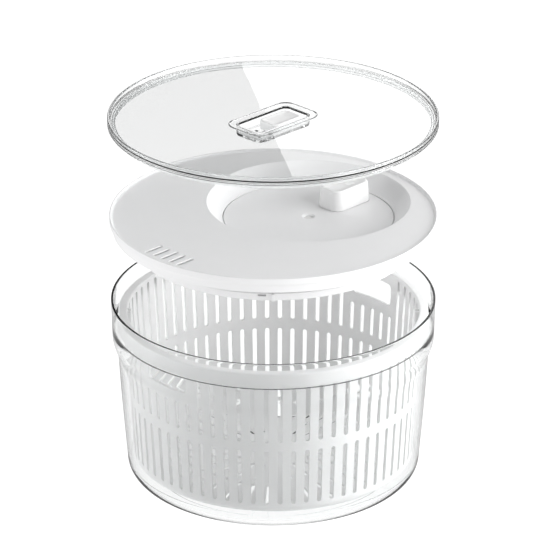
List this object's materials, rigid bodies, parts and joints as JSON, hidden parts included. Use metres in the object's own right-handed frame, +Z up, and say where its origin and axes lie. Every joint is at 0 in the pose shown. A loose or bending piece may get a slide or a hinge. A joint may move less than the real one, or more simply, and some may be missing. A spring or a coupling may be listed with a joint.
{
  "type": "salad spinner",
  "caption": "Round salad spinner: clear bowl, slotted white basket, white lid with an off-centre crank driving a geared plate, and a clear storage cover with a vent slider, shown lifted apart.",
  "frame": {"origin": "centre of the bowl's foot ring, on the surface that the bowl stands on", "axes": "+Z up along the bowl's axis, +Y towards the crank, -Y towards the pouring slots"},
  "size_m": [0.2608, 0.2608, 0.307],
  "materials": {
    "clear_plastic": "clear polished",
    "clear_cover": "clear polished",
    "white_basket": "satin white",
    "white_lid": "satin white",
    "white_knob": "soft gloss white",
    "bearing_plastic": "natural acetal",
    "steel": "plated steel",
    "silicone": "milky silicone"
  },
  "bodies": {
    "bowl": {"bowl": "clear_plastic"},
    "basket_pivot": {"pivot_bush": "bearing_plastic"},
    "basket": {"basket": "white_basket"},
    "spin_lid": {"lid_shell": "white_lid", "gear_cover": "bearing_plastic", "gear_cover_screws": "steel"},
    "crank": {"crank_disc": "white_lid", "axle_cap": "bearing_plastic", "drive_gear": "bearing_plastic", "crank_screw": "steel", "knob_post": "bearing_plastic", "knob_screw": "steel"},
    "knob": {"knob": "white_knob", "knob_cap": "white_knob"},
    "drive": {"pinion": "bearing_plastic", "drive_plate": "white_lid", "drive_washer": "steel", "drive_screw": "steel"},
    "cover": {"cover": "clear_cover", "cover_seal": "silicone"},
    "vent": {"vent_slider": "white_knob", "vent_clip": "bearing_plastic"}
  },
  "joints": [
    {"name": "basket_lift", "type": "slide", "parent": "bowl", "child": "basket_pivot", "axis": [0, 0, 1], "range_m": [0, 0.15]},
    {"name": "basket_spin", "type": "hinge", "parent": "basket_pivot", "child": "basket", "pos_m": [0, 0, 0.012], "axis": [0, 0, 1], "continuous": true},
    {"name": "lid_lift", "type": "slide", "parent": "basket_pivot", "child": "spin_lid", "axis": [0, 0, 1], "range_m": [-0.0666, 0]},
    {"name": "crank_spin", "type": "hinge", "parent": "spin_lid", "child": "crank", "pos_m": [0, 0.04, 0.203], "axis": [0, 0, 1], "continuous": true},
    {"name": "knob_spin", "type": "hinge", "parent": "crank", "child": "knob", "pos_m": [0, 0.0808, 0.213], "axis": [0, 0, 1], "continuous": true},
    {"name": "drive_spin", "type": "hinge", "parent": "spin_lid", "child": "drive", "pos_m": [0, 0, 0.19], "axis": [0, 0, 1], "continuous": true},
    {"name": "cover_lift", "type": "slide", "parent": "spin_lid", "child": "cover", "axis": [0, 0, 1], "range_m": [-0.0759, 0]},
    {"name": "vent_slide", "type": "slide", "parent": "cover", "child": "vent", "axis": [0, 1, 0], "range_m": [-0.0184, 0]}
  ],
  "couplings": [
    {"joint": "drive_spin", "follows": "crank_spin", "ratio": -3},
    {"joint": "basket_spin", "follows": "crank_spin", "ratio": -3}
  ]
}
